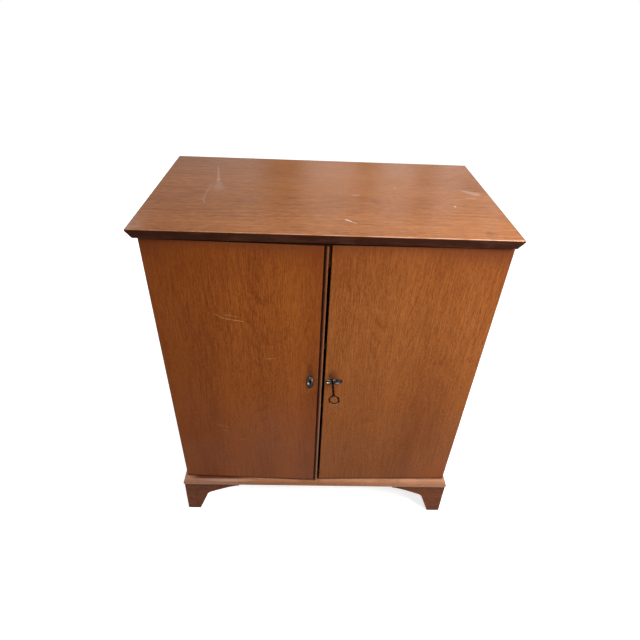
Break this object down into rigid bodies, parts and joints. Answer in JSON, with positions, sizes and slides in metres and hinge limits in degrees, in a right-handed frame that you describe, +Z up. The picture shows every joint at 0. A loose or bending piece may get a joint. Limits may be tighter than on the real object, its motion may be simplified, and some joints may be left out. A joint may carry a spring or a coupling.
{
  "type": "flip-top dry bar cabinet",
  "caption": "Free-standing wooden bar cabinet with a lift-up lid over a bar well, paired doors with lock and key, a shelf, and shaped bracket feet.",
  "frame": {"origin": "on the floor, under the middle of the overall box with doors and key as pictured", "axes": "+Z up, +Y from the doors to the back, +X to the right seen from the front"},
  "size_m": [0.805, 0.5454, 0.968],
  "materials": {
    "lid_veneer": "satin varnish, worn and scratched",
    "door_veneer": "satin varnish",
    "side_veneer": "satin varnish",
    "base_wood": "satin varnish, rubbed edges",
    "foot_wood": "dull varnish",
    "inside_wood": "plain lacquer",
    "back_ply": "bare plywood",
    "laminate": "satin",
    "brass": "aged",
    "bronze": "dark patina",
    "key_steel": "darkened",
    "lock_steel": "dull",
    "rubber": "matte",
    "catch_plastic": "matte"
  },
  "bodies": {
    "carcass": {"side_panel_left": "side_veneer", "side_panel_right": "side_veneer", "base_moulding_front": "base_wood", "base_moulding_left": "base_wood", "base_moulding_right": "base_wood", "base_rear_rail": "inside_wood", "back_panel": "back_ply", "bottom_board": "inside_wood", "front_top_rail": "inside_wood", "rear_hinge_rail": "inside_wood", "bar_deck": "inside_wood", "bar_deck_laminate": "laminate", "deck_battens": "inside_wood", "shelf": "inside_wood", "shelf_pins": "brass", "foot_blocks": "inside_wood", "lid_hinge_lower_leaves": "brass", "lid_hinge_pins": "brass", "upper_pivot_plates": "brass", "lower_pivot_plates": "brass", "stay_keepers": "brass", "lid_bumpers": "rubber", "door_catches": "catch_plastic", "front_left_foot_side": "foot_wood", "front_left_foot_face": "foot_wood", "front_right_foot_side": "foot_wood", "front_right_foot_face": "foot_wood", "rear_left_foot_side": "foot_wood", "rear_left_foot_back": "foot_wood", "rear_right_foot_side": "foot_wood", "rear_right_foot_back": "foot_wood"},
    "lid": {"lid_panel": "lid_veneer", "lid_hinge_upper_leaves": "brass", "quadrant_stays": "brass", "stay_stop_pegs": "brass"},
    "left_door": {"left_door_panel": "door_veneer", "meeting_bead": "base_wood", "left_key_plate": "bronze", "left_door_bushes": "brass", "left_catch_plate": "lock_steel", "lock_keeper": "lock_steel"},
    "right_door": {"right_door_panel": "door_veneer", "right_key_plate": "bronze", "right_door_bushes": "brass", "right_catch_plate": "lock_steel", "lock_plate": "lock_steel", "lock_case": "lock_steel"},
    "key": {"key": "key_steel", "lock_follower": "lock_steel"},
    "lock_bolt": {"lock_bolt": "lock_steel"}
  },
  "joints": [
    {"name": "lid_flip", "type": "hinge", "parent": "carcass", "child": "lid", "pos_m": [0, 0.26873, 0.9425], "axis": [-1, 0, 0], "range_deg": [0, 79]},
    {"name": "left_door_swing", "type": "hinge", "parent": "carcass", "child": "left_door", "pos_m": [-0.382, -0.17757, 0.5595], "axis": [0, 0, -1], "range_deg": [-1.6, 108]},
    {"name": "right_door_swing", "type": "hinge", "parent": "carcass", "child": "right_door", "pos_m": [0.382, -0.17757, 0.5595], "axis": [0, 0, 1], "range_deg": [-1, 108]},
    {"name": "key_turn", "type": "hinge", "parent": "right_door", "child": "key", "pos_m": [0.02823, -0.19374, 0.5595], "axis": [0.0175, -0.9998, 0], "range_deg": [0, 180]},
    {"name": "bolt_slide", "type": "slide", "parent": "right_door", "child": "lock_bolt", "axis": [-0.9998, -0.0175, 0], "range_m": [0, 0.014]}
  ],
  "couplings": [
    {"joint": "bolt_slide", "follows": "key_turn", "m_per_rad": 0.0044563}
  ]
}
